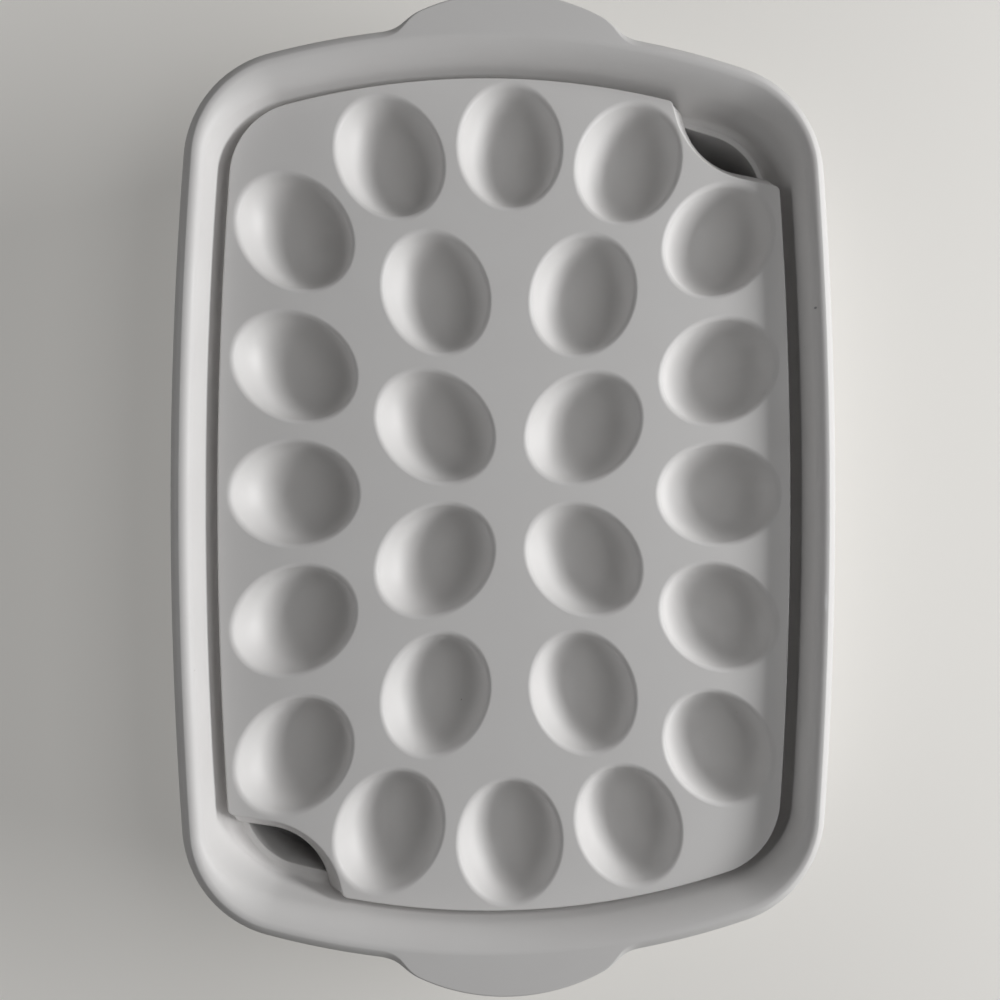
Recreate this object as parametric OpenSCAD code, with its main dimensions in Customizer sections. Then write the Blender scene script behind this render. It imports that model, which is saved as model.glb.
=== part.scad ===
// Serving platter for deviled eggs: a double-walled tray with a cooling fill and a lift-out egg insert.
// Millimetres, +Z up, origin on the table under the middle, +Y along the tray towards a handle tab.

/* [Tray] */
// Height from the table to the top of the rim
tray_h = 68; // [60:1:90]
// Width across the rim
tray_w = 311.6; // [300:0.2:330]
// Length across the rim, without the handle tabs
tray_l = 437.8; // [424:0.2:460]
// Bow of each long side of the rim
side_bow = 11.1; // [6:0.1:16]
// Bow of each short side of the rim
end_bow = 32.6; // [26:0.1:38]
// Corner radius of the rim
rim_corner_r = 54; // [46:0.5:62]

/* [Handle tabs] */
// Reach of a tab past the end of the rim
tab_reach = 13.5; // [10:0.1:17]
// Radius of a tab's outer edge
tab_r = 95.8; // [86:0.2:106]
// Radius of the hollow where a tab runs into the rim
tab_fillet_r = 28; // [20:1:36]
// Width and fall of the rounding along a tab's outer edge
tab_round = 1.2; // [0.8:0.1:1.8]
// Reach at which a tab's flat top has taken over from the rim's band
tab_blend = 6; // [3:0.5:9]

/* [Liner] */
// Wall of the inner liner
liner_wall = 2.4; // [1.8:0.1:2.8]
// Height of the liner's turned-down edge under the band
lip_edge_h = 0.8; // [0.5:0.1:1.5]
// Setback of the lip from the rim's edge
lip_setback = 0.6; // [0.3:0.1:0.8]
// Width of the rim's outward-facing band along the sides
side_band_w = 4.8; // [4:0.1:5.6]
// Width of the band across the ends
end_band_w = 5.3; // [4.6:0.1:6]
// Fall of the band from the rim's top to its lower edge
band_fall = 4.4; // [3.6:0.1:5]
// Flat top of the rim between the band and the roll
flat_w = 0.4; // [0.2:0.1:1]
// Radius of the roll from the rim's top into the inner wall
roll_r = 5; // [4:0.1:6]
// Turn of the roll before the wall's own curve, in degrees
roll_turn = 29; // [22:1:36]
// Radius of the wall's own curve across the ends
end_wall_r = 15; // [8:0.5:16]
// Slope of the inner wall along the sides, in degrees
side_slope = 80; // [76:0.5:83]
// Slope of the inner wall across the ends, in degrees
end_slope = 78; // [76:0.5:82]
// Depth of the ledge under the rim's top
ledge_depth = 24.5; // [22:0.5:28]
// Rise from the lowest point of the hollow at the wall's foot up to the ledge, in degrees
hollow_rise = 32; // [0:1:40]
// Width of the ledge's flat, inside that hollow
ledge_w = 2.7; // [2.5:0.1:5]
// Draft of the well's wall in degrees
well_draft = 5; // [2:0.5:8]
// Rounding round the well's floor
well_fillet_r = 10; // [7:0.5:12]
// Height of the well's floor over the table
well_floor_z = 15.5; // [14.5:0.5:18]

/* [Shell] */
// Wall of the outer shell
shell_wall = 2.4; // [1.8:0.1:2.8]
// Setback of the shell's wall under its flange
shell_setback = 2.5; // [2:0.1:3]
// Draft of the shell's wall in degrees
shell_draft = 9; // [7:0.5:10]
// Rounding round the shell's bottom
shell_fillet_r = 10; // [8:0.5:14]
// Rounding of the flange's outer edge
flange_round = 0.5; // [0.3:0.1:0.8]
// Height of the foot ring
foot_h = 2.5; // [2:0.1:3]
// Width of the foot ring
foot_w = 4; // [3:0.5:6]
// Distance from the shell's bottom rounding in to the foot ring
foot_inset = 2; // [1:0.5:4]

/* [Cooling fill] */
// Clearance between the fill and the walls round it
fill_gap = 0.3; // [0.2:0.1:0.5]
// Height of the fill over the underside of the ledge
fill_rise = 1.5; // [0.5:0.1:2]
// Diameter of the filling hole
fill_hole_d = 10; // [8:0.5:12]
// Clearance of the plug's stem in the hole
plug_gap = 0.1; // [0.05:0.05:0.2]
// Diameter of the plug's head
plug_head_d = 17; // [15:0.5:20]
// Thickness of the plug's head
plug_head_t = 1.5; // [1:0.1:1.8]
// Distance of the plug from the middle, as a share of the tray's half length
plug_y_share = 0.65; // [0.5:0.01:0.7]

/* [Egg insert] */
// Depth of the insert's top under the rim's top
insert_depth = 12.5; // [11:0.5:15]
// Distance from the rim's edge in to the insert, along the sides
side_margin = 18.6; // [17.8:0.1:19.6]
// Distance from the rim's edge in to the insert, across the ends
end_margin = 20.1; // [19.1:0.1:21.1]
// Corner radius of the insert
insert_corner_r = 37; // [32:0.5:42]
// Thickness of the insert
insert_t = 2.4; // [1.8:0.1:3]
// Wall of the insert's skirt
skirt_w = 1.8; // [1.4:0.1:1.9]
// Radius of each finger notch
notch_r = 40.7; // [37:0.1:43]
// Spread of the skirt into a notch, from the insert's underside down to the ledge
notch_flare = 4.6; // [3:0.1:6]
// Rounding of the insert's points beside a notch
notch_tip_r = 3.4; // [2:0.1:4.5]

/* [Egg cups] */
// Length of an egg cup at the insert's top
cup_l = 60.4; // [58:0.2:62]
// Width of an egg cup at the insert's top
cup_w = 50; // [46:0.2:51]
// Depth of an egg cup
cup_depth = 19; // [16:0.5:21]
// Wall of an egg cup
cup_wall = 2; // [1.5:0.1:2.2]
// Width of the soft edge round a cup
cup_lip_w = 1.6; // [1:0.1:2]
// Depth of the soft edge round a cup
cup_lip_depth = 1; // [0.6:0.1:1.4]
// Land between the insert's edge and the middle cup of a long side
side_land = 5.4; // [4.5:0.1:6]
// Land between the insert's edge and the middle cup of a short side
end_land = 2.6; // [2:0.1:4]

/* [Hidden] */

// Counts of facets on a quarter of an outline: long side, corner and short side
side_steps = 5;
corner_steps = 9;
end_steps = 14;
// Counts of facets on the roll of the rim, the wall's curve, the hollow at its foot and the fillets
roll_steps = 3;
curve_steps = 3;
hollow_steps = 5;
fillet_steps = 4;
// Counts of facets on a whole circle: the plug and its hole, the insert's rounded points, and the
// cups and finger notches
plug_facets = 48;
tip_facets = 48;
cup_facets = 96;
// Overrun of a cut past the face that it opens
cut_over = 1;
// Depths by which the foot ring is sunk in the shell's bottom and the skirt in the insert's plate
foot_sink = 1;
skirt_sink = 0.4;
// How far the middle of the rim's band bulges out, as a share of the band's slant
bulge_share = 0.09;

half_w = tray_w / 2;
half_l = tray_l / 2;
side_r = (half_l * half_l + side_bow * side_bow) / (2 * side_bow);
end_r = (half_w * half_w + end_bow * end_bow) / (2 * end_bow);

// Heights, all from the table
lip_z = tray_h - band_fall - lip_edge_h;
flange_t = shell_wall;
flange_z = lip_z - flange_t;
ledge_z = tray_h - ledge_depth;
insert_z = tray_h - insert_depth;
fill_z = ledge_z - liner_wall + fill_rise;

// Where the rim turns from its side form to its end form, as shares of the half length
turn_from_share = 0.7;
turn_to_share = 0.95;

// Inward distance, from the insert's outline, of the outside of its skirt, where the ledge's flat begins
skirt_in = 1.9;

// One row for each kind of cup, all in the quarter with +X and +Y: its place along X as a share of
// the side cups' distance, along Y as a share of the end cups' distance, and its turn in degrees
cup_place_shares = [
    [1, 0.741, 48],
    [1, 0.359, 29],
    [1, 0, 0],
    [0.563, 0.961, 66],
    [0, 1, 90],
    [0.347, 0.575, 70],
    [0.35, 0.191, 40.5]
];
side_cup_x = half_w - side_margin - side_land - cup_l / 2;
end_cup_y = half_l - end_margin - end_land - cup_l / 2;
bowl_r = (cup_w * cup_w / 4 + cup_depth * cup_depth) / (2 * cup_depth);

// Middle of a finger notch, as shares of the insert's half width and half length
notch_x_share = 0.875;
notch_y_share = 0.974;
// The notch's arc runs out into straight edges in these two directions, in degrees, as far as this
notch_runs = [-10, 105];
notch_run = 24;

plug_y = plug_y_share * half_l;
skirt_h = insert_z - insert_t + skirt_sink - ledge_z;

function mix(a, b, t) = a + (b - a) * t;
function smooth(t) = let (c = min(1, max(0, t))) c * c * (3 - 2 * c);
function unit(a) = [cos(a), sin(a)];

// The point, on the +X +Y side, at distance ra from a and rb from b
function meet(a, ra, b, rb) =
    let (d = norm(b - a), u = (b - a) / d, s = (ra * ra - rb * rb + d * d) / (2 * d))
    a + s * u + sqrt(ra * ra - s * s) * [-u.y, u.x];

// A quarter of a bowed outline, from [w, 0] to [0, l]: three arcs that run into each other
function quarter(w, l, side, end, corner) =
    let (
        a = [w - side, 0],
        b = [0, l - end],
        c = meet(a, side - corner, b, end - corner),
        from = atan2(c.y - a.y, c.x - a.x),
        to = atan2(c.y - b.y, c.x - b.x)
    )
    concat(
        [for (j = [0:side_steps - 1]) a + side * unit(from * j / side_steps)],
        [for (j = [0:corner_steps - 1]) c + corner * unit(mix(from, to, j / corner_steps))],
        [for (j = [0:end_steps]) b + end * unit(mix(to, 90, j / end_steps))]
    );

// A point of the quarter in another quarter, from the signs of its coordinates there
function flip(p, signs) = [for (k = [0:len(p) - 1]) p[k] * signs[k]];

// A whole outline from its quarter, counterclockwise
function whole(q) =
    let (n = len(q) - 1)
    concat(
        [for (i = [0:n - 1]) q[i]],
        [for (i = [n:-1:1]) flip(q[i], [-1, 1, 1])],
        [for (i = [0:n - 1]) flip(q[i], [-1, -1, 1])],
        [for (i = [n:-1:1]) flip(q[i], [1, -1, 1])]
    );

rim = quarter(half_w, half_l, side_r, end_r, rim_corner_r);
inner = quarter(
    half_w - side_margin, half_l - end_margin,
    side_r - side_margin, end_r - end_margin, insert_corner_r
);
last = len(rim) - 1;
margin = [for (i = [0:last]) norm(inner[i] - rim[i])];
turn = [for (p = rim) smooth((p.y / half_l - turn_from_share) / (turn_to_share - turn_from_share))];

// Point i of the quarter, moved in from the rim's edge by d
function inward(i, d) = rim[i] + (inner[i] - rim[i]) * d / margin[i];

// How far a tab stands out past the rim at x: a tab arc, then a hollow arc, then the rim itself
tab_mid = half_l + tab_reach - tab_r;
end_mid = half_l - end_r;
hollow_reach = tab_r + tab_fillet_r;
hollow_far = end_r + tab_fillet_r;
hollow_y = (hollow_reach * hollow_reach - hollow_far * hollow_far - tab_mid * tab_mid + end_mid * end_mid)
    / (2 * (end_mid - tab_mid));
hollow_x = sqrt(hollow_reach * hollow_reach - (hollow_y - tab_mid) * (hollow_y - tab_mid));
tab_x = hollow_x * tab_r / hollow_reach;
tab_end_x = hollow_x * end_r / hollow_far;
function end_line(x) = end_mid + sqrt(end_r * end_r - x * x);
function tab_line(x) =
    x < tab_x ? tab_mid + sqrt(tab_r * tab_r - x * x) :
    x < tab_end_x ? hollow_y - sqrt(tab_fillet_r * tab_fillet_r - (x - hollow_x) * (x - hollow_x)) :
    end_line(x);
tab_out = [for (i = [0:last]) i < side_steps + corner_steps ? 0 : tab_line(rim[i].x) - end_line(rim[i].x)];

// A section is a list of [inward distance, height, whether it follows the tabs]. It is worked out for
// each point of the quarter, because the rim's form changes from the sides to the ends.
on_tab = [for (v = tab_out) smooth(v / tab_blend)];
function band_w(i) = mix(side_band_w, end_band_w, turn[i]);
function edge_w(i) = mix(band_w(i), tab_round, on_tab[i]);
function edge_fall(i) = mix(band_fall, tab_round, on_tab[i]);
function roll_in(i) = lip_setback + band_w(i) + flat_w;
function wall_r(i) = mix(roll_r, end_wall_r, turn[i]);

// Middle of the rim's band, moved in by g
function band_mid(i, g) =
    let (w = edge_w(i), h = edge_fall(i), slant = norm([w, h]), out = bulge_share * slant - g)
    [lip_setback + w / 2 - out * h / slant, tray_h - h / 2 + out * w / slant, 1];

// Centre of the wall's own curve, which carries on from the roll
function wall_mid(i) =
    [roll_in(i), tray_h - roll_r] - (wall_r(i) - roll_r) * [sin(roll_turn), cos(roll_turn)];

// Slope of the straight part under that curve, and where the ledge's flat begins
function wall_slope(i) = mix(side_slope, end_slope, turn[i]);
function ledge_start(i) = margin[i] + skirt_in;

// Where the straight wall would meet the ledge, and the hollow that joins them instead: its radius, and
// its middle. It turns past its lowest point and rises to the ledge, which stands up round the well
function wall_foot(i) =
    let (m = wall_mid(i), r = wall_r(i), b = wall_slope(i))
    m.x + r * sin(b) + (m.y + r * cos(b) - ledge_z) / tan(b);
function hollow_r(i) =
    (ledge_start(i) - wall_foot(i)) * sin(wall_slope(i)) / (1 - cos(wall_slope(i) + hollow_rise));
function hollow_mid(i) = [ledge_start(i), ledge_z] + hollow_r(i) * [-sin(hollow_rise), cos(hollow_rise)];

// That hollow from its slope a down to its slope b, grown outward by g
function hollow_line(i, g, a, b) =
    let (m = hollow_mid(i), r = hollow_r(i) + g)
    [for (j = [0:hollow_steps])
        let (c = mix(a, b, j / hollow_steps))
        [m.x - r * sin(c), m.y - r * cos(c), 0]];

// The rim's roll and the wall's curve, grown outward by g
function roll_line(i, g) =
    let (m = wall_mid(i), b = wall_slope(i))
    concat(
        [for (j = [0:roll_steps - 1])
            let (a = roll_turn * j / roll_steps)
            [roll_in(i) + (roll_r - g) * sin(a), tray_h - roll_r + (roll_r - g) * cos(a), 0]],
        [for (j = [0:curve_steps])
            let (a = mix(roll_turn, b, j / curve_steps))
            [m.x + (wall_r(i) - g) * sin(a), m.y + (wall_r(i) - g) * cos(a), 0]]
    );

// Where the ledge ends and the well's wall begins, grown outward by g
function ledge_edge(i, g) = ledge_start(i) + ledge_w + g * tan(well_draft) - g / cos(well_draft);

// The well under the ledge, grown outward by g
function well_line(i, g) =
    let (
        x = ledge_start(i) + ledge_w + (ledge_z - well_floor_z - well_fillet_r) * tan(well_draft)
            + well_fillet_r / cos(well_draft),
        z = well_floor_z + well_fillet_r,
        r = well_fillet_r + g
    )
    [for (j = [0:fillet_steps])
        let (a = mix(180 + well_draft, 270, j / fillet_steps))
        [x + r * cos(a), z + r * sin(a), 0]];

// The outer shell's wall and bottom, shrunk inward by g
function shell_top(g, z) = shell_setback + (flange_z - z) * tan(shell_draft) + g / cos(shell_draft);
function shell_line(g) =
    let (
        x = shell_setback + (flange_z - foot_h - shell_fillet_r) * tan(shell_draft)
            + shell_fillet_r / cos(shell_draft),
        z = foot_h + shell_fillet_r,
        r = shell_fillet_r - g
    )
    [for (j = [0:fillet_steps])
        let (a = mix(270, 180 + shell_draft, j / fillet_steps))
        [x + r * cos(a), z + r * sin(a), 0]];

function reversed(v) = [for (k = [len(v) - 1:-1:0]) v[k]];

function liner_section(i) =
    concat(
        reversed(well_line(i, liner_wall)),
        [[ledge_edge(i, liner_wall), ledge_z - liner_wall, 0]],
        reversed(hollow_line(i, liner_wall, wall_slope(i), 0)),
        reversed(roll_line(i, liner_wall)),
        [band_mid(i, liner_wall)],
        [[lip_setback + liner_wall, lip_z, 1]],
        [[lip_setback, lip_z, 1]],
        [[lip_setback, tray_h - edge_fall(i), 1]],
        [band_mid(i, 0)],
        [[lip_setback + edge_w(i), tray_h, 1]],
        roll_line(i, 0),
        hollow_line(i, 0, wall_slope(i), -hollow_rise),
        [[ledge_edge(i, 0), ledge_z, 0]],
        well_line(i, 0)
    );

function shell_section(i) =
    concat(
        shell_line(0),
        [[shell_top(0, flange_z), flange_z, 0]],
        [[flange_round, flange_z, 1]],
        [[0, flange_z + flange_round, 1]],
        [[0, lip_z - flange_round, 1]],
        [[flange_round, lip_z, 1]],
        [[shell_top(shell_wall, lip_z), lip_z, 0]],
        reversed(shell_line(shell_wall))
    );

function fill_section(i) =
    let (
        out = shell_wall + fill_gap,
        under = liner_wall + fill_gap,
        above = hollow_mid(i).y - fill_z
    )
    concat(
        shell_line(out),
        [[shell_top(out, fill_z), fill_z, 0]],
        hollow_line(i, under, acos(above / (hollow_r(i) + under)), 0),
        [[ledge_edge(i, under), ledge_z - under, 0]],
        well_line(i, under)
    );

// The solid between the first ring of a section, closed below, and its last ring, closed above
module vessel(sections) {
    rings = [for (k = [0:len(sections[0]) - 1])
        whole([for (i = [0:last])
            let (at = sections[i][k], p = inward(i, at[0]))
            [p.x, p.y + at[2] * tab_out[i], at[1]]])];
    n = len(rings[0]);
    top = (len(rings) - 1) * n;
    sides = [for (k = [0:len(rings) - 2], i = [0:n - 1], half = [0, 1])
        let (a = k * n + i, b = k * n + (i + 1) % n)
        half == 0 ? [a, a + n, b + n] : [a, b + n, b]];
    polyhedron(
        points = [for (r = rings) each r],
        faces = concat([[for (i = [0:n - 1]) i]], sides, [[for (i = [n - 1:-1:0]) top + i]])
    );
}

module ring_band(from, to, z, h) {
    translate([0, 0, z]) linear_extrude(h) difference() {
        polygon(whole([for (i = [0:last]) inward(i, from)]));
        polygon(whole([for (i = [0:last]) inward(i, to)]));
    }
}

module inner_liner() {
    color("#eceeee") vessel([for (i = [0:last]) liner_section(i)]);
}

module outer_shell() {
    bottom_in = shell_line(0)[0][0] + foot_inset;
    color("#e6e8e8") difference() {
        union() {
            vessel([for (i = [0:last]) shell_section(i)]);
            ring_band(bottom_in, bottom_in + foot_w, 0, foot_h + foot_sink);
        }
        translate([0, plug_y, foot_h - cut_over])
            cylinder(h = shell_wall + 2 * cut_over, d = fill_hole_d, $fn = plug_facets);
    }
}

module cooling_gel() {
    color("#cfe3ea") vessel([for (i = [0:last]) fill_section(i)]);
}

module fill_plug() {
    stem_d = fill_hole_d - 2 * plug_gap;
    color("#f4f4f2") translate([0, plug_y, foot_h - plug_head_t]) union() {
        cylinder(h = plug_head_t, d = plug_head_d, $fn = plug_facets);
        cylinder(h = plug_head_t + shell_wall, d = stem_d, $fn = plug_facets);
    }
}

// Every cup, from the one quarter that the table gives
module at_cups() {
    for (row = cup_place_shares, sx = [1, -1], sy = [1, -1]) {
        if ((row[0] > 0 || sx > 0) && (row[1] > 0 || sy > 0))
            translate([sx * row[0] * side_cup_x, sy * row[1] * end_cup_y, insert_z])
                rotate(sx * sy * row[2])
                    scale([cup_l / cup_w, 1, 1])
                        children();
    }
}

// Half of a cup's bowl, before it is turned round: a slice of a circle under the insert's top
module bowl_slice(grow, top) {
    intersection() {
        translate([0, bowl_r - cup_depth]) circle(r = bowl_r + grow, $fn = cup_facets);
        translate([0, -cup_depth - grow]) square([cup_w, cup_depth + grow + top]);
    }
}

module cup_hollow() {
    edge = cup_w / 2 + cup_lip_w / 2;
    flare = cup_lip_w / cup_lip_depth;
    rotate_extrude($fn = cup_facets) union() {
        bowl_slice(0, 0);
        polygon([
            [0, cut_over],
            [edge + cut_over * flare, cut_over],
            [edge, 0],
            [edge - cup_lip_w, -cup_lip_depth],
            [0, -cup_lip_depth]
        ]);
    }
}

module cup_body() {
    rotate_extrude($fn = cup_facets) bowl_slice(cup_wall, -insert_t / 2);
}

// The two finger notches, at opposite corners: the hull of three equal rounds, one at the middle of
// the arc and one at the end of each straight edge
module at_notches() {
    for (turned = [0, 180]) rotate(turned)
        translate([notch_x_share * (half_w - side_margin), notch_y_share * (half_l - end_margin)]) hull() {
            children();
            for (a = notch_runs) translate(notch_run * unit(a)) children();
        }
}

// The room in the notches between the ledge and the insert's plate, grown by g
module notch_cones(g) {
    at_notches() cylinder(h = skirt_h, r1 = notch_r - notch_flare + g, r2 = notch_r + g, $fn = cup_facets);
}

module insert_plan() {
    offset(r = notch_tip_r, $fn = tip_facets) offset(delta = -notch_tip_r) difference() {
        polygon(whole(inner));
        at_notches() circle(r = notch_r, $fn = cup_facets);
    }
}

// The skirt under the insert's edge, which spreads into the notches
module skirt() {
    difference() {
        linear_extrude(skirt_h) polygon(whole([for (i = [0:last]) inward(i, margin[i] + skirt_in)]));
        difference() {
            translate([0, 0, -cut_over]) linear_extrude(skirt_h + 2 * cut_over)
                polygon(whole([for (i = [0:last]) inward(i, margin[i] + skirt_in + skirt_w)]));
            notch_cones(skirt_w);
        }
        notch_cones(0);
    }
}

module egg_insert() {
    color("#f0f1f1") difference() {
        union() {
            translate([0, 0, insert_z - insert_t]) linear_extrude(insert_t) insert_plan();
            translate([0, 0, ledge_z]) skirt();
            at_cups() cup_body();
        }
        at_cups() cup_hollow();
    }
}

inner_liner();
outer_shell();
cooling_gel();
fill_plug();
egg_insert();
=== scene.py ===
import math

import bmesh
import bpy
from mathutils import Matrix, Vector


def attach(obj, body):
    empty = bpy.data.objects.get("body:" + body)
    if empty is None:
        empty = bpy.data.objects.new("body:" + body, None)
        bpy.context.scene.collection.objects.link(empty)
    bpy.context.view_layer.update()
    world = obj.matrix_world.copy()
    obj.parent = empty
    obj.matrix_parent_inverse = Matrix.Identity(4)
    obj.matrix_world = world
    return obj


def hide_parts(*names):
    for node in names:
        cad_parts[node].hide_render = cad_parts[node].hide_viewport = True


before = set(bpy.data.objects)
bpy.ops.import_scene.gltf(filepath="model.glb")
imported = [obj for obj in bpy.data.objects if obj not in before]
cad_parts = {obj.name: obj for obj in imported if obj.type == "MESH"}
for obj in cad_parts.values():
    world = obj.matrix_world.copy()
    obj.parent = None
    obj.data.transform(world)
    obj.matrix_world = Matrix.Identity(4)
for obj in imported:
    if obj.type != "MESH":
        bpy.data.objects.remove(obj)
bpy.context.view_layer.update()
mm = 0.001


def hexColour(text):
    parts = [int(text[i:i + 2], 16) / 255 for i in (1, 3, 5)]
    linear = [p / 12.92 if p <= 0.04045 else ((p + 0.055) / 1.055) ** 2.4 for p in parts]
    return (*linear, 1)


def mix(a, b, t):
    return a + (b - a) * t


def smooth(t):
    t = min(1, max(0, t))
    return t * t * (3 - 2 * t)


def unit(degrees):
    return Vector((math.cos(math.radians(degrees)), math.sin(math.radians(degrees)), 0))


def meet(a, aRadius, b, bRadius):  # the crossing of two circles, left of the way from a to b
    way = b - a
    along = (aRadius ** 2 - bRadius ** 2 + way.length_squared) / (2 * way.length)
    side = math.sqrt(aRadius ** 2 - along ** 2)
    ahead = way.normalized()
    return a + along * ahead + side * Vector((-ahead.y, ahead.x, 0))


def runOut(start, way, centre, radius):  # where a straight line from inside a circle leaves it
    off = start - centre
    along = off.dot(way)
    return start + way * (math.sqrt(along ** 2 - off.length_squared + radius ** 2) - along)


def outward(centre, point, radius):
    return centre + (point - centre).normalized() * radius


# Part by part, a vertex is spun round a centre, or drawn straight on where the part has no centre
def drawLine(start, parts):
    bm = bmesh.new()
    last = bm.verts.new(start)
    for centre, end, way, steps in parts:
        if centre is None:
            begin = last.co.copy()
            for step in range(1, steps + 1):
                last = bmesh.ops.extrude_vert_indiv(bm, verts=[last])["verts"][0]
                last.co = begin.lerp(end, step / steps)
        else:
            begin = math.atan2(last.co.y - centre.y, last.co.x - centre.x)
            reach = math.atan2(end.y - centre.y, end.x - centre.x) - begin
            grown = bmesh.ops.spin(bm, geom=[last], cent=centre, axis=(0, 0, 1),
                                   angle=way * ((way * reach) % math.tau), steps=steps)
            last = [g for g in grown["geom_last"] if isinstance(g, bmesh.types.BMVert)][0]
    points = [v.co.copy() for v in bm.verts]
    bm.free()
    return points


tray = {
    "height": 68, "width": 311.6, "length": 437.8,
    "sideBow": 11.1, "endBow": 32.6, "corner": 54,
    "tabReach": 13.5, "tabRadius": 95.8, "tabHollow": 28, "tabRound": 1.2, "tabBlend": 6,
    "sideSteps": 22, "cornerSteps": 26, "endSteps": 66,
}
insert = {
    "depth": 12.5, "sideMargin": 18.6, "endMargin": 20.1, "corner": 37, "thickness": 2.4, "edgeRound": 0.9,
    "notchRadius": 40.7, "notchX": 0.875, "notchY": 0.974, "notchRuns": (-10, 105), "tipRadius": 3.4,
    "skirtIn": 1.9, "skirtWall": 1.5, "skirtFlare": 7.2, "skirtRound": 0.4, "clearance": 0.1, "notchBlend": 0.4,
    "edgeSteps": 5, "bottomSteps": 3, "sideSteps": 30, "endSteps": 110, "farSideSteps": 70, "cornerSteps": 30,
    "tipSteps": 10, "notchSteps": 30, "runSteps": (6, 3),
}
# In mm: vertices closer than weld are one, and an edge within level of a height lies at that height
meshing = {"weld": 0.005, "level": 0.01}
halfWidth = tray["width"] / 2
halfLength = tray["length"] / 2
sideRadius = (halfLength ** 2 + tray["sideBow"] ** 2) / (2 * tray["sideBow"])
endRadius = (halfWidth ** 2 + tray["endBow"] ** 2) / (2 * tray["endBow"])
sideCentre = Vector((halfWidth - sideRadius, 0, 0))
endCentre = Vector((0, halfLength - endRadius, 0))


def quarterOutline(sideMargin, endMargin, corner):
    side = sideRadius - sideMargin
    end = endRadius - endMargin
    centre = meet(sideCentre, side - corner, endCentre, end - corner)
    return drawLine(sideCentre + Vector((side, 0, 0)), [
        (sideCentre, outward(sideCentre, centre, side), 1, tray["sideSteps"]),
        (centre, outward(endCentre, centre, end), 1, tray["cornerSteps"]),
        (endCentre, endCentre + Vector((0, end, 0)), 1, tray["endSteps"]),
    ])


rim = quarterOutline(0, 0, tray["corner"])
inner = quarterOutline(insert["sideMargin"], insert["endMargin"], insert["corner"])
last = len(rim) - 1
margin = [(b - a).length for a, b in zip(rim, inner)]
stations = [(i, 1, 1) for i in range(last)] + [(i, -1, 1) for i in range(last, 0, -1)]
stations += [(i, -1, -1) for i in range(last)] + [(i, 1, -1) for i in range(last, 0, -1)]


# How far a handle tab stands out past the rim at x: the tab's arc, a hollow arc, then the rim
def tabLine(x):
    radius = tray["tabRadius"]
    hollow = tray["tabHollow"]
    middle = halfLength + tray["tabReach"] - radius
    reach = radius + hollow
    far = endRadius + hollow
    hollowY = (reach ** 2 - far ** 2 - middle ** 2 + endCentre.y ** 2) / (2 * (endCentre.y - middle))
    hollowX = math.sqrt(reach ** 2 - (hollowY - middle) ** 2)
    rimY = endCentre.y + math.sqrt(endRadius ** 2 - x ** 2)
    if x < hollowX * radius / reach:
        return middle + math.sqrt(radius ** 2 - x ** 2) - rimY
    if x < hollowX * endRadius / far:
        return hollowY - math.sqrt(hollow ** 2 - (x - hollowX) ** 2) - rimY
    return 0


straight = tray["sideSteps"] + tray["cornerSteps"]
tabOut = [0 if i < straight else tabLine(point.x) for i, point in enumerate(rim)]

# A section is a list of (distance in from the rim's edge, height, how far it follows the tabs)
liner = {
    "wall": 2.4, "lipEdge": 0.8, "lipSetback": 0.6, "lipRound": 0.35,
    "sideBand": 4.8, "endBand": 5.3, "bandFall": 4.4, "bandTurn": 19, "tabTurn": 40,
    "crease": 0.2, "flat": 0.4,
    "roll": 5, "rollTurn": 29, "endWall": 15, "sideSlope": 80, "endSlope": 78,
    "ledgeDepth": 24.5, "ledgeWidth": 2.7, "ledgeRound": 0.5, "hollowRise": 32,
    "wellDraft": 5, "wellFillet": 10, "wellFloor": 15.5,
    "turnFrom": 0.7, "turnTo": 0.95,
    "wellSteps": 10, "hollowSteps": 14, "noseSteps": 4, "wallSteps": 10, "rollSteps": 6, "bandSteps": 10,
    "lipSteps": 3, "underWellSteps": 6, "underHollowSteps": 6, "underWallSteps": 5, "underRollSteps": 3,
}
shell = {
    "wall": 2.4, "setback": 2.5, "draft": 9, "fillet": 10, "flangeRound": 0.5, "underFillet": 1.5,
    "footHeight": 2.5, "footWidth": 4, "footInset": 2, "footRound": 0.8,
    "footSteps": 4, "footHollowSteps": 3, "filletSteps": 10, "insideSteps": 6, "underSteps": 5, "flangeSteps": 4,
}
lipZ = tray["height"] - liner["bandFall"] - liner["lipEdge"]
ledgeZ = tray["height"] - liner["ledgeDepth"]
insertZ = tray["height"] - insert["depth"]
flangeZ = lipZ - shell["wall"]


def arc(centre, radius, begin, end, steps, follow=0):  # angles in degrees
    turns = [unit(mix(begin, end, j / steps)) * radius for j in range(steps + 1)]
    return [(centre[0] + turn.x, centre[1] + turn.y, follow) for turn in turns]


def bowed(start, end, halfTurn, steps):  # an arc from start to end that bows to its left
    way = Vector(end) - Vector(start)
    lean = math.degrees(math.atan2(way.y, way.x))
    radius = way.length / 2 / math.sin(math.radians(halfTurn))
    out = unit(lean + 90 + halfTurn) * radius
    middle = (start[0] - out.x, start[1] - out.y)
    return arc(middle, radius, lean + 90 + halfTurn, lean + 90 - halfTurn, steps, 1)


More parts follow.
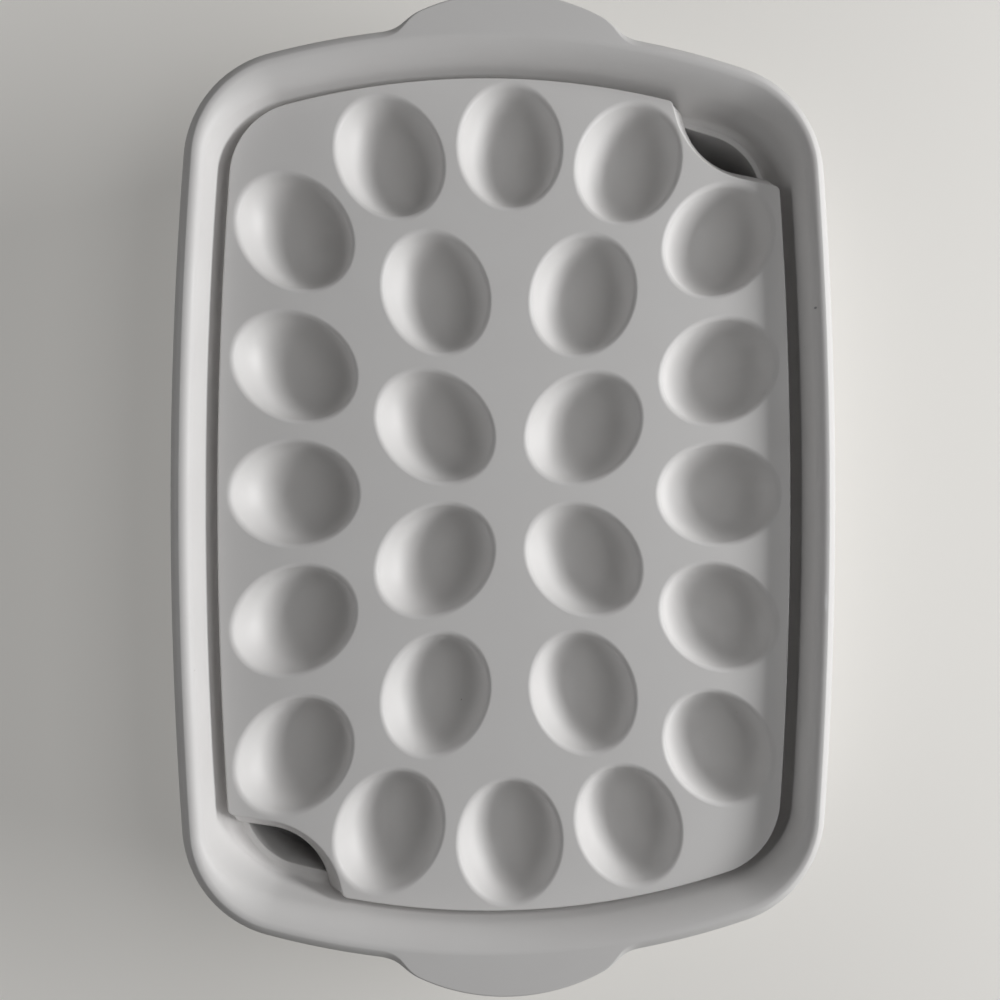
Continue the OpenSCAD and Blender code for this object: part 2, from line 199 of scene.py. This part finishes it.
def linerSection(i):
    top = tray["height"]
    wall = liner["wall"]
    setback = liner["lipSetback"]
    turn = smooth((rim[i].y / halfLength - liner["turnFrom"]) / (liner["turnTo"] - liner["turnFrom"]))
    onTab = smooth(tabOut[i] / tray["tabBlend"])
    bandWidth = mix(liner["sideBand"], liner["endBand"], turn)
    edgeWidth = mix(bandWidth, tray["tabRound"], onTab)
    edgeFall = mix(liner["bandFall"], tray["tabRound"], onTab)
    # the rim's roll, then the wall's own curve, then straight down to the hollow at the foot
    roll = liner["roll"]
    curve = mix(roll, liner["endWall"], turn)
    rollTurn = liner["rollTurn"]
    rollMid = (setback + bandWidth + liner["flat"], top - roll)
    lead = unit(90 - rollTurn) * (curve - roll)
    wallMid = (rollMid[0] - lead.x, rollMid[1] - lead.y)
    slope = mix(liner["sideSlope"], liner["endSlope"], turn)
    lean = math.radians(slope)
    drop = wallMid[1] + curve * math.cos(lean) - ledgeZ
    foot = wallMid[0] + curve * math.sin(lean) + drop / math.tan(lean)
    # the hollow turns past its lowest point and rises to the ledge, which stands up round the well
    start = margin[i] + insert["skirtIn"]
    rise = liner["hollowRise"]
    turned = math.radians(rise)
    hollow = (start - foot) * math.sin(lean) / (1 - math.cos(lean + turned))
    hollowMid = (start - hollow * math.sin(turned), ledgeZ + hollow * math.cos(turned))
    draft = math.radians(liner["wellDraft"])
    edge = start + liner["ledgeWidth"]
    wellZ = liner["wellFloor"] + liner["wellFillet"]
    wellIn = edge + (ledgeZ - wellZ) * math.tan(draft) + liner["wellFillet"] / math.cos(draft)
    across = Vector((edgeFall, -edgeWidth)).normalized() * wall

    underFillet = liner["wellFillet"] + wall
    under = arc((wellIn, wellZ), underFillet, 270, 180 + liner["wellDraft"], liner["underWellSteps"])
    under += [(edge + wall * math.tan(draft) - wall / math.cos(draft), ledgeZ - wall, 0)]
    under += arc(hollowMid, hollow + wall, 270, 270 - slope, liner["underHollowSteps"])
    under += arc(wallMid, curve - wall, 90 - slope, 90 - rollTurn, liner["underWallSteps"])
    under += arc(rollMid, roll - wall, 90 - rollTurn, 90, liner["underRollSteps"])[1:]
    under += [(setback + edgeWidth / 2 + across.x, top - edgeFall / 2 + across.y, 1)]
    under += [(setback + wall, lipZ, 1)]
    edgeRound = liner["lipRound"]
    lip = arc((setback + edgeRound, lipZ + edgeRound), edgeRound, 270, 180, liner["lipSteps"], 1)
    bandTurn = mix(liner["bandTurn"], liner["tabTurn"], onTab)
    band = bowed((setback, top - edgeFall), (setback + edgeWidth, top), bandTurn, liner["bandSteps"])
    lip += band[:-1] + [tuple(mix(band[-2][k], band[-1][k], 1 - liner["crease"]) for k in range(3))]
    lip += [(setback + edgeWidth + liner["crease"], top, 1)]
    inside = arc(rollMid, roll, 90, 90 - rollTurn, liner["rollSteps"])
    inside += arc(wallMid, curve, 90 - rollTurn, 90 - slope, liner["wallSteps"])[1:]
    nose = liner["ledgeRound"]
    ledge = arc(hollowMid, hollow, 270 - slope, 270 + rise, liner["hollowSteps"]) + [(start + nose, ledgeZ, 0)]
    ledge += arc((edge - nose, ledgeZ - nose), nose, 90, liner["wellDraft"], liner["noseSteps"])
    well = arc((wellIn, wellZ), liner["wellFillet"], 180 + liner["wellDraft"], 270, liner["wellSteps"])
    return under + lip + inside + ledge + well


def shellSection(i):
    base, radius, wall, setback = (shell[k] for k in ("footHeight", "fillet", "wall", "setback"))
    draft = math.radians(shell["draft"])
    bottomIn = setback + (flangeZ - base - radius) * math.tan(draft) + radius / math.cos(draft)
    footOut = bottomIn + shell["footInset"]
    footIn = footOut + shell["footWidth"]
    nose = shell["footRound"]
    foot = arc((footIn + nose, base - nose), nose, 90, 180, shell["footHollowSteps"])
    foot += arc((footIn - nose, nose), nose, 0, -90, shell["footSteps"])
    foot += arc((footOut + nose, nose), nose, 270, 180, shell["footSteps"])
    foot += arc((footOut - nose, base - nose), nose, 0, 90, shell["footHollowSteps"])
    outside = arc((bottomIn, base + radius), radius, 270, 180 + shell["draft"], shell["filletSteps"])
    soft = shell["underFillet"]
    softIn = setback - soft * (1 - math.sin(draft)) / math.cos(draft)
    outside += arc((softIn, flangeZ - soft), soft, shell["draft"], 90, shell["underSteps"])
    edge = shell["flangeRound"]
    flange = arc((edge, flangeZ + edge), edge, 270, 180, shell["flangeSteps"], 1)
    flange += arc((edge, lipZ - edge), edge, 180, 90, shell["flangeSteps"], 1)
    inside = [(setback + (flangeZ - lipZ) * math.tan(draft) + wall / math.cos(draft), lipZ, 0)]
    inside += arc((bottomIn, base + radius), radius - wall, 180 + shell["draft"], 270, shell["insideSteps"])
    return foot + outside + flange + inside


def newVerts(result):
    return [g for g in result["geom"] if isinstance(g, bmesh.types.BMVert)]


def ringEdges(verts):
    found = set(verts)
    near = {e for v in verts for e in v.link_edges}
    return [e for e in near if e.verts[0] in found and e.verts[1] in found]


def closedLoop(bm, points):  # a loop of edges; each vertex keeps its number through every extrusion
    number = bm.verts.layers.int.get("number") or bm.verts.layers.int.new("number")
    verts = [bm.verts.new(p) for p in points]
    for i, vert in enumerate(verts):
        vert[number] = i
    return [bm.edges.new((verts[i - 1], verts[i])) for i in range(len(verts))]


def growRing(bm, edges, place):  # extrudes a loop and puts each new vertex where place says
    number = bm.verts.layers.int.get("number")
    verts = newVerts(bmesh.ops.extrude_edge_only(bm, edges=edges))
    for vert in verts:
        vert.co = place(vert[number])
    return ringEdges(verts)


def addPiece(name, bm, body, node, material):
    bmesh.ops.recalc_face_normals(bm, faces=bm.faces)
    mesh = bpy.data.meshes.new(name)
    bm.to_mesh(mesh)
    bm.free()
    mesh.polygons.foreach_set("use_smooth", [True] * len(mesh.polygons))
    mesh.materials.append(material)
    piece = bpy.data.objects.new(name, mesh)
    bpy.context.scene.collection.objects.link(piece)
    piece.modifiers.new("EvenShading", "WEIGHTED_NORMAL").keep_sharp = True
    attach(piece, body)
    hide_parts(node)
    print(name, "made:", len(mesh.vertices), "vertices")
    return piece


def stationPoint(k, row):
    i, sx, sy = stations[k]
    point = rim[i] + (inner[i] - rim[i]) * (row[0] / margin[i])
    return Vector((sx * point.x, sy * (point.y + row[2] * tabOut[i]), row[1])) * mm


def sweepTray(section):  # a ring of stations, extruded through every row of the section
    sections = [section(i) for i in range(last + 1)]
    bm = bmesh.new()
    edges = closedLoop(bm, [stationPoint(k, sections[s[0]][0]) for k, s in enumerate(stations)])
    first = edges
    for row in range(1, len(sections[0])):
        edges = growRing(bm, edges, lambda k: stationPoint(k, sections[stations[k][0]][row]))
    return bm, first, edges


def addNode(tree, kind, settings=None, links=None):
    node = tree.nodes.new(kind)
    for name, value in (settings or {}).items():
        if isinstance(name, str) and hasattr(node, name):
            setattr(node, name, value)
        else:
            node.inputs[name].default_value = value
    for name, source in (links or {}).items():
        tree.links.new(source, node.inputs[name])
    return node


plastic = {
    "colour": "#ebeae9", "shade": "#e6e4e3", "speckColour": "#a59f93",
    "roughness": (0.36, 0.46), "grainMm": 0.7, "grainHeight": 0.012, "waveMm": 38, "waveHeight": 0.05,
    "waveSpan": (0.3, 0.7), "speckEveryMm": 26, "speckMm": 0.35, "speckCore": 0.7, "ior": 1.49, "sheen": 0.28,
    "dirtAndGlintCore": 0.5, "dirtAndGlintStrength": 0.7,
}


# Spots on the tray's rim: middle, half extent and colour
# The white one is a painted highlight, the glint of a small dent from a knock, which is not modelled; the dark
# one is dirt
rimDirtAndPaintedGlint = [
    ((148.4, -51.2, 67.5), (0.9, 5.5, 3), "#ffffff"),
    ((144.4, 88, 66.3), (0.6, 0.7, 3), "#6f7276"),
]


# White polypropylene, injection moulded in a satin-finished tool: a soft sheen with no sharp
# reflection, very faint waves where the wall cooled, and a few specks from use
def mouldedPolypropylene(name, values, dirtAndGlintSpots=()):
    material = bpy.data.materials.new(name)
    material.use_nodes = True
    tree = material.node_tree
    shader = tree.nodes["Principled BSDF"]
    place = addNode(tree, "ShaderNodeTexCoord").outputs["Object"]
    waveScale, grainScale, speckScale = (1 / (values[k] * mm) for k in ("waveMm", "grainMm", "speckEveryMm"))
    wave = addNode(tree, "ShaderNodeTexNoise", {"Scale": waveScale, "Detail": 2.0}, {"Vector": place})
    grain = addNode(tree, "ShaderNodeTexNoise", {"Scale": grainScale, "Detail": 3.0}, {"Vector": place})
    cells = addNode(tree, "ShaderNodeTexVoronoi", {"Scale": speckScale}, {"Vector": place})
    size = values["speckMm"] / values["speckEveryMm"]
    speck = addNode(tree, "ShaderNodeMapRange",
                    {"From Min": size * values["speckCore"], "From Max": size, "To Min": 1.0, "To Max": 0.0},
                    {"Value": cells.outputs["Distance"]})
    tone = addNode(tree, "ShaderNodeMix",
                   {"data_type": "RGBA", 6: hexColour(values["colour"]), 7: hexColour(values["shade"])},
                   {"Factor": wave.outputs["Fac"]})
    marked = addNode(tree, "ShaderNodeMix", {"data_type": "RGBA", 7: hexColour(values["speckColour"])},
                     {"Factor": speck.outputs["Result"], 6: tone.outputs[2]})
    colour = marked.outputs[2]
    # dirt darkens the colour, and the white spot is a painted highlight where a dent on the rim catches the
    # light
    for middle, extent, dirtAndGlintTint in dirtAndGlintSpots:
        near = addNode(tree, "ShaderNodeMapping",
                       {"vector_type": "TEXTURE", "Location": Vector(middle) * mm, "Scale": Vector(extent) * mm},
                       {"Vector": place})
        far = addNode(tree, "ShaderNodeVectorMath", {"operation": "LENGTH"}, {0: near.outputs["Vector"]})
        dirtAndGlintMask = addNode(tree, "ShaderNodeMapRange",
                       {"From Min": values["dirtAndGlintCore"], "From Max": 1.0,
                        "To Min": values["dirtAndGlintStrength"], "To Max": 0.0},
                       {"Value": far.outputs["Value"]})
        colour = addNode(tree, "ShaderNodeMix", {"data_type": "RGBA", 7: hexColour(dirtAndGlintTint)},
                         {"Factor": dirtAndGlintMask.outputs["Result"], 6: colour}).outputs[2]
    low, high = values["roughness"]
    fromLow, fromHigh = values["waveSpan"]
    sheen = addNode(tree, "ShaderNodeMapRange",
                    {"From Min": fromLow, "From Max": fromHigh, "To Min": low, "To Max": high},
                    {"Value": wave.outputs["Fac"]})
    waves = addNode(tree, "ShaderNodeBump",
                    {"Distance": values["waveHeight"] * mm}, {"Height": wave.outputs["Fac"]})
    fine = addNode(tree, "ShaderNodeBump", {"Distance": values["grainHeight"] * mm},
                   {"Height": grain.outputs["Fac"], "Normal": waves.outputs["Normal"]})
    shader.inputs["IOR"].default_value = values["ior"]
    shader.inputs["Specular IOR Level"].default_value = values["sheen"]
    tree.links.new(colour, shader.inputs["Base Color"])
    tree.links.new(sheen.outputs["Result"], shader.inputs["Roughness"])
    tree.links.new(fine.outputs["Normal"], shader.inputs["Normal"])
    return material


linerPlastic = mouldedPolypropylene("mouldedPolypropyleneLiner", plastic, rimDirtAndPaintedGlint)
shellPlastic = mouldedPolypropylene("mouldedPolypropyleneShell", {**plastic, "colour": "#e8e7e6"})
insertPlastic = mouldedPolypropylene("mouldedPolypropyleneInsert", {**plastic, "waveMm": 30})


def makeLiner():
    bm, first, final = sweepTray(linerSection)
    bmesh.ops.contextual_create(bm, geom=first)
    bmesh.ops.contextual_create(bm, geom=final)
    return addPiece("trayLiner", bm, "tray", "inner_liner", linerPlastic)


plug = {
    "place": 0.65, "hole": 10, "gap": 0.1, "head": 17, "headThickness": 1.5, "headRound": 0.5,
    "recess": 9, "recessDepth": 0.5, "spokes": 64, "roundSteps": 4,
}
plugY = plug["place"] * halfLength


def makeShell():
    bm, first, final = sweepTray(shellSection)
    loops = []
    for edges, z in ((first, shell["footHeight"]), (final, shell["footHeight"] + shell["wall"])):
        hole = bmesh.ops.create_circle(bm, segments=plug["spokes"], radius=plug["hole"] / 2 * mm,
                                       matrix=Matrix.Translation(Vector((0, plugY, z)) * mm))["verts"]
        loops.append(ringEdges(hole))
        bmesh.ops.triangle_fill(bm, use_beauty=True, edges=edges + loops[-1], normal=(0, 0, 1))
    bmesh.ops.bridge_loops(bm, edges=loops[0] + loops[1])
    return addPiece("trayShell", bm, "tray", "outer_shell", shellPlastic)


def spinRows(bm, rows, middle, spokes):  # a section of (radius, height) rows, turned round a standing line
    verts = [bm.verts.new(middle * mm + Vector((x, 0, z)) * mm) for x, z in rows]
    edges = [bm.edges.new(pair) for pair in zip(verts, verts[1:])]
    bmesh.ops.spin(bm, geom=verts + edges, cent=middle * mm, axis=(0, 0, 1),
                   angle=math.tau, steps=spokes, use_merge=True)
    bmesh.ops.remove_doubles(bm, verts=bm.verts, dist=meshing["weld"] * mm)


def makePlug():  # a press-in plug with a shallow recess in its head
    base = shell["footHeight"]
    low = base - plug["headThickness"]
    nose = plug["headRound"]
    stem = plug["hole"] / 2 - plug["gap"]
    recess = plug["recess"] / 2
    rows = [(0, low + plug["recessDepth"]), (recess - nose, low + plug["recessDepth"]), (recess, low)]
    rows += [p[:2] for p in arc((plug["head"] / 2 - nose, low + nose), nose, -90, 0, plug["roundSteps"])]
    rows += [(plug["head"] / 2, base), (stem, base), (stem, base + shell["wall"] - nose)]
    rows += [(stem - nose, base + shell["wall"]), (0, base + shell["wall"])]
    bm = bmesh.new()
    spinRows(bm, rows, Vector((0, plugY, 0)), plug["spokes"])
    return addPiece("fillPlug", bm, "tray", "fill_plug", shellPlastic)


makeLiner()
makeShell()
makePlug()

gel = {"colour": "#cfe3ea", "roughness": 0.25, "ior": 1.35, "clear": 0.4}


# Water gel sealed in the tray's wall when it was made: wet, pale blue and half clear
def sealedGel(values):
    material = bpy.data.materials.new("sealedWaterGel")
    material.use_nodes = True
    shader = material.node_tree.nodes["Principled BSDF"]
    shader.inputs["Base Color"].default_value = hexColour(values["colour"])
    shader.inputs["Roughness"].default_value = values["roughness"]
    shader.inputs["IOR"].default_value = values["ior"]
    shader.inputs["Transmission Weight"].default_value = values["clear"]
    return material


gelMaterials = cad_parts["cooling_gel"].data.materials
gelMaterials.clear()
gelMaterials.append(sealedGel(gel))

cups = {
    "length": 60.4, "width": 50, "depth": 19, "wall": 2, "tighter": 2, "lip": 3,
    "sideLand": 5.4, "endLand": 2.6, "spokes": 80, "underSpokes": 64, "bowlSteps": 12, "lipSteps": 8,
    # place along X and Y as shares of the outer cups' distances, and the turn in degrees
    "places": [
        (1, 0.741, 48), (1, 0.359, 29), (1, 0, 0), (0.563, 0.961, 66), (0, 1, 90), (0.347, 0.575, 70),
        (0.35, 0.191, 40.5),
    ],
}


# The insert's outline, the outward normal at each point, and how far each point is in a finger notch
def insertOutline():
    side = sideRadius - insert["sideMargin"]
    end = endRadius - insert["endMargin"]
    halfW = halfWidth - insert["sideMargin"]
    radius = insert["notchRadius"]
    tip = insert["tipRadius"]
    notch = Vector((insert["notchX"] * halfW, insert["notchY"] * (halfLength - insert["endMargin"]), 0))
    sideRun, endRun = insert["notchRuns"]
    sideRunSteps, endRunSteps = insert["runSteps"]
    toSideRun, toEndRun = unit(sideRun - 90), unit(endRun + 90)
    sideTip = runOut(notch + toSideRun * (radius + tip), unit(sideRun), sideCentre, side - tip)
    endTip = runOut(notch + toEndRun * (radius + tip), unit(endRun), endCentre, end - tip)
    corner = meet(sideCentre, side - insert["corner"], endCentre, end - insert["corner"])
    flipX = Vector((-1, 1, 1))
    parts = [  # centre, end, way round or normal, steps, and the share in the notch at the start and end
        (sideCentre, outward(sideCentre, sideTip, side), 1, insert["sideSteps"], 0, 0),
        (sideTip, sideTip - toSideRun * tip, 1, insert["tipSteps"], 0, 1),
        (None, notch + toSideRun * radius, -toSideRun, sideRunSteps, 1, 1),
        (notch, notch + toEndRun * radius, -1, insert["notchSteps"], 1, 1),
        (None, endTip - toEndRun * tip, -toEndRun, endRunSteps, 1, 1),
        (endTip, outward(endCentre, endTip, end), 1, insert["tipSteps"], 1, 0),
        (endCentre, outward(endCentre, corner, end) * flipX, 1, insert["endSteps"], 0, 0),
        (corner * flipX, outward(sideCentre, corner, side) * flipX, 1, insert["cornerSteps"], 0, 0),
        (sideCentre * flipX, Vector((-halfW, 0, 0)), 1, insert["farSideSteps"], 0, 0),
    ]
    turned = [(c and -c, -e, w if c else -w, *rest) for c, e, w, *rest in parts]
    parts += turned
    points = drawLine(Vector((halfW, 0, 0)), [part[:4] for part in parts])[:-1]
    normals, shares = [], []
    for centre, _, way, steps, begin, final in parts:
        for step in range(steps):
            point = points[len(normals)]
            normals.append((point - centre).normalized() * way if centre else way)
            inNotch = mix(begin, final, step / steps)
            shares.append(smooth(1 - (1 - inNotch) / insert["notchBlend"]))
    return points, normals, shares


def bowlRows(grow, lip, startZ):  # from the insert's face down to the middle
    half = cups["width"] / 2 - cups["tighter"] / 2
    radius = (half ** 2 + cups["depth"] ** 2) / (2 * cups["depth"])
    centreZ = radius - cups["depth"]
    radius += grow
    if not lip:
        begin = -math.degrees(math.asin((centreZ - startZ) / radius))
        return [p[:2] for p in arc((0, centreZ), radius, begin, -90, cups["bowlSteps"])]
    lipX = math.sqrt((radius + lip) ** 2 - (centreZ + lip) ** 2)
    turn = math.degrees(math.atan2(centreZ + lip, lipX))
    rows = arc((lipX, -lip), lip, 90, 180 - turn, cups["lipSteps"])
    rows += arc((0, centreZ), radius, -turn, -90, cups["bowlSteps"])[1:]
    return [p[:2] for p in rows]


def cupMesh(rows, spokes):
    bm = bmesh.new()
    spinRows(bm, [(x, z + insertZ) for x, z in rows], Vector((0, 0, 0)), spokes)
    bmesh.ops.scale(bm, vec=(cups["length"] / cups["width"], 1, 1), verts=bm.verts)
    mesh = bpy.data.meshes.new("cup")
    bm.to_mesh(mesh)
    bm.free()
    return mesh


def addCups(bm):
    sideCupX = halfWidth - insert["sideMargin"] - cups["sideLand"] - cups["length"] / 2
    endCupY = halfLength - insert["endMargin"] - cups["endLand"] - cups["length"] / 2
    hollow = cupMesh(bowlRows(0, cups["lip"], 0), cups["spokes"])
    under = cupMesh(bowlRows(cups["wall"], 0, -insert["thickness"]), cups["underSpokes"])
    for x, y, turn in cups["places"]:
        for sx in (1, -1) if x else (1,):
            for sy in (1, -1) if y else (1,):
                spot = Matrix.Translation(Vector((sx * x * sideCupX, sy * y * endCupY, 0)) * mm)
                spot = spot @ Matrix.Rotation(math.radians(sx * sy * turn), 4, "Z")
                for mesh in (hollow, under):
                    placed = mesh.copy()
                    placed.transform(spot)
                    bm.from_mesh(placed)
                    bpy.data.meshes.remove(placed)


def makeInsert():
    points, normals, shares = insertOutline()
    top = insertZ
    bottom = insertZ - insert["thickness"]
    nose = insert["edgeRound"]
    small = insert["skirtRound"]

    def placeAt(k, out, z):
        return (points[k] + normals[k] * out + Vector((0, 0, z))) * mm

    bm = bmesh.new()
    edge = arc((-nose, top - nose), nose, 90, 0, insert["edgeSteps"])
    edge += arc((-small, bottom + small), small, 0, -90, insert["bottomSteps"])
    rows = [p[:2] for p in edge]
    topLoop = closedLoop(bm, [placeAt(k, *rows[0]) for k in range(len(points))])
    edges = topLoop
    for out, z in rows[1:]:
        edges = growRing(bm, edges, lambda k: placeAt(k, out, z))
    bottomLoop = edges
    addCups(bm)
    for edges, z in ((topLoop, top * mm), (bottomLoop, bottom * mm)):
        near = meshing["level"] * mm
        rims = [e for e in bm.edges if e.is_boundary and all(abs(v.co.z - z) < near for v in e.verts)]
        bmesh.ops.triangle_fill(bm, use_beauty=True, edges=list(set(rims) | set(edges)), normal=(0, 0, 1))
    # the skirt stands on the tray's ledge; in a finger notch it carries the plate's edge on, spreading down
    wall = insert["skirtWall"]
    high = top - nose
    low = ledgeZ + insert["clearance"]
    steady, spread = -insert["skirtIn"], insert["skirtFlare"]
    skirtRows = [
        (steady, 0, high), (steady, spread, low + small),
        (steady - small, spread - small, low), (steady - wall + small, spread - wall + small, low),
        (steady - wall, spread - wall, low + small), (steady - wall, -wall, high),
    ]

    def skirtAt(k, row):
        return placeAt(k, mix(row[0], row[1], shares[k]), row[2])

    start = closedLoop(bm, [skirtAt(k, skirtRows[0]) for k in range(len(points))])
    edges = start
    for row in skirtRows[1:]:
        edges = growRing(bm, edges, lambda k: skirtAt(k, row))
    bmesh.ops.bridge_loops(bm, edges=start + edges)
    return addPiece("eggInsert", bm, "insert", "egg_insert", insertPlastic)


makeInsert()

stage = {"floor": "#dedcd8", "glow": 0.3, "size": 6, "roughness": 0.9}
lights = {
    "key": {"azimuth": 4, "elevation": 23, "distance": 1.9, "size": (1.6, 0.42), "power": 29.5},
    "high": {"azimuth": 4, "elevation": 54, "distance": 1.1, "size": (0.8, 0.4), "power": 2},
    "near": {"azimuth": -90, "elevation": 40, "distance": 1.5, "size": (0.8, 0.6), "power": 0.5},
    "far": {"azimuth": 90, "elevation": 40, "distance": 1.5, "size": (0.8, 0.6), "power": 0.3},
    "back": {"azimuth": 180, "elevation": 14, "distance": 1.3, "size": (1.0, 0.24), "power": 2},
    "world": 0.01, "worldColour": "#f4f6f8", "behind": "#c8c6c2",
}
camera = {"place": (-24.7, -4.6, 412.5), "turns": (-0.24, 3.19, -0.02), "lens": 27, "sensor": 36}


def makeStage():
    bm = bmesh.new()
    bmesh.ops.create_grid(bm, x_segments=1, y_segments=1, size=stage["size"] / 2)
    mesh = bpy.data.meshes.new("floor")
    bm.to_mesh(mesh)
    bm.free()
    floor = bpy.data.objects.new("floor", mesh)
    bpy.context.scene.collection.objects.link(floor)
    material = bpy.data.materials.new("matteFloorPaint")
    material.use_nodes = True
    tree = material.node_tree
    shader = tree.nodes["Principled BSDF"]
    shader.inputs["Base Color"].default_value = hexColour(stage["floor"])
    shader.inputs["Roughness"].default_value = stage["roughness"]
    # the camera sees the floor paler than it is lit, and still sees the shadow on it
    glow = addNode(tree, "ShaderNodeEmission",
                   {"Color": hexColour(stage["floor"]), "Strength": stage["glow"]})
    both = addNode(tree, "ShaderNodeAddShader", links={0: shader.outputs[0], 1: glow.outputs[0]})
    path = addNode(tree, "ShaderNodeLightPath")
    either = addNode(tree, "ShaderNodeMixShader",
                     links={0: path.outputs["Is Camera Ray"], 1: shader.outputs[0], 2: both.outputs[0]})
    tree.links.new(either.outputs[0], tree.nodes["Material Output"].inputs["Surface"])
    mesh.materials.append(material)


def makeLight(name, values):
    lamp = bpy.data.lights.new(name, "AREA")
    lamp.shape = "RECTANGLE"
    lamp.size, lamp.size_y = values["size"]
    lamp.energy = values["power"]
    azimuth, elevation = math.radians(values["azimuth"]), math.radians(values["elevation"])
    flat = math.cos(elevation)
    way = Vector((flat * math.cos(azimuth), flat * math.sin(azimuth), math.sin(elevation)))
    thing = bpy.data.objects.new(name, lamp)
    thing.location = way * values["distance"]
    thing.rotation_euler = way.to_track_quat("Z", "Y").to_euler()
    bpy.context.scene.collection.objects.link(thing)


def makeWorld():
    world = bpy.data.worlds.new("studio")
    bpy.context.scene.world = world
    world.use_nodes = True
    tree = world.node_tree
    soft = tree.nodes["Background"]
    soft.inputs["Color"].default_value = hexColour(lights["worldColour"])
    soft.inputs["Strength"].default_value = lights["world"]
    seen = addNode(tree, "ShaderNodeBackground", {"Color": hexColour(lights["behind"]), "Strength": 1.0})
    path = addNode(tree, "ShaderNodeLightPath").outputs
    # the camera, reflections and clear parts see the backdrop's colour; soft light comes from the other
    rays = addNode(tree, "ShaderNodeMath", {"operation": "MAXIMUM"},
                   {0: path["Is Camera Ray"], 1: path["Is Glossy Ray"]})
    more = addNode(tree, "ShaderNodeMath", {"operation": "MAXIMUM"},
                   {0: rays.outputs[0], 1: path["Is Transmission Ray"]})
    either = addNode(tree, "ShaderNodeMixShader",
                     links={0: more.outputs[0], 1: soft.outputs[0], 2: seen.outputs[0]})
    tree.links.new(either.outputs[0], tree.nodes["World Output"].inputs["Surface"])


def makeCamera():
    data = bpy.data.cameras.new("photoView")
    data.sensor_width = camera["sensor"]
    data.lens = camera["lens"]
    thing = bpy.data.objects.new("photoView", data)
    aboutX, aboutY, aboutZ = [math.radians(a) for a in camera["turns"]]
    turn = Matrix.Rotation(aboutZ, 4, "Z") @ Matrix.Rotation(aboutY, 4, "Y") @ Matrix.Rotation(aboutX, 4, "X")
    thing.matrix_world = Matrix.Translation(Vector(camera["place"]) * mm) @ turn.transposed()
    bpy.context.scene.collection.objects.link(thing)
    bpy.context.scene.camera = thing


makeStage()
for which in ("key", "high", "near", "far", "back"):
    makeLight(which + "Lamp", lights[which])
makeWorld()
makeCamera()
bpy.context.scene.view_settings.view_transform = "Standard"
print("stage, lights and camera ready")
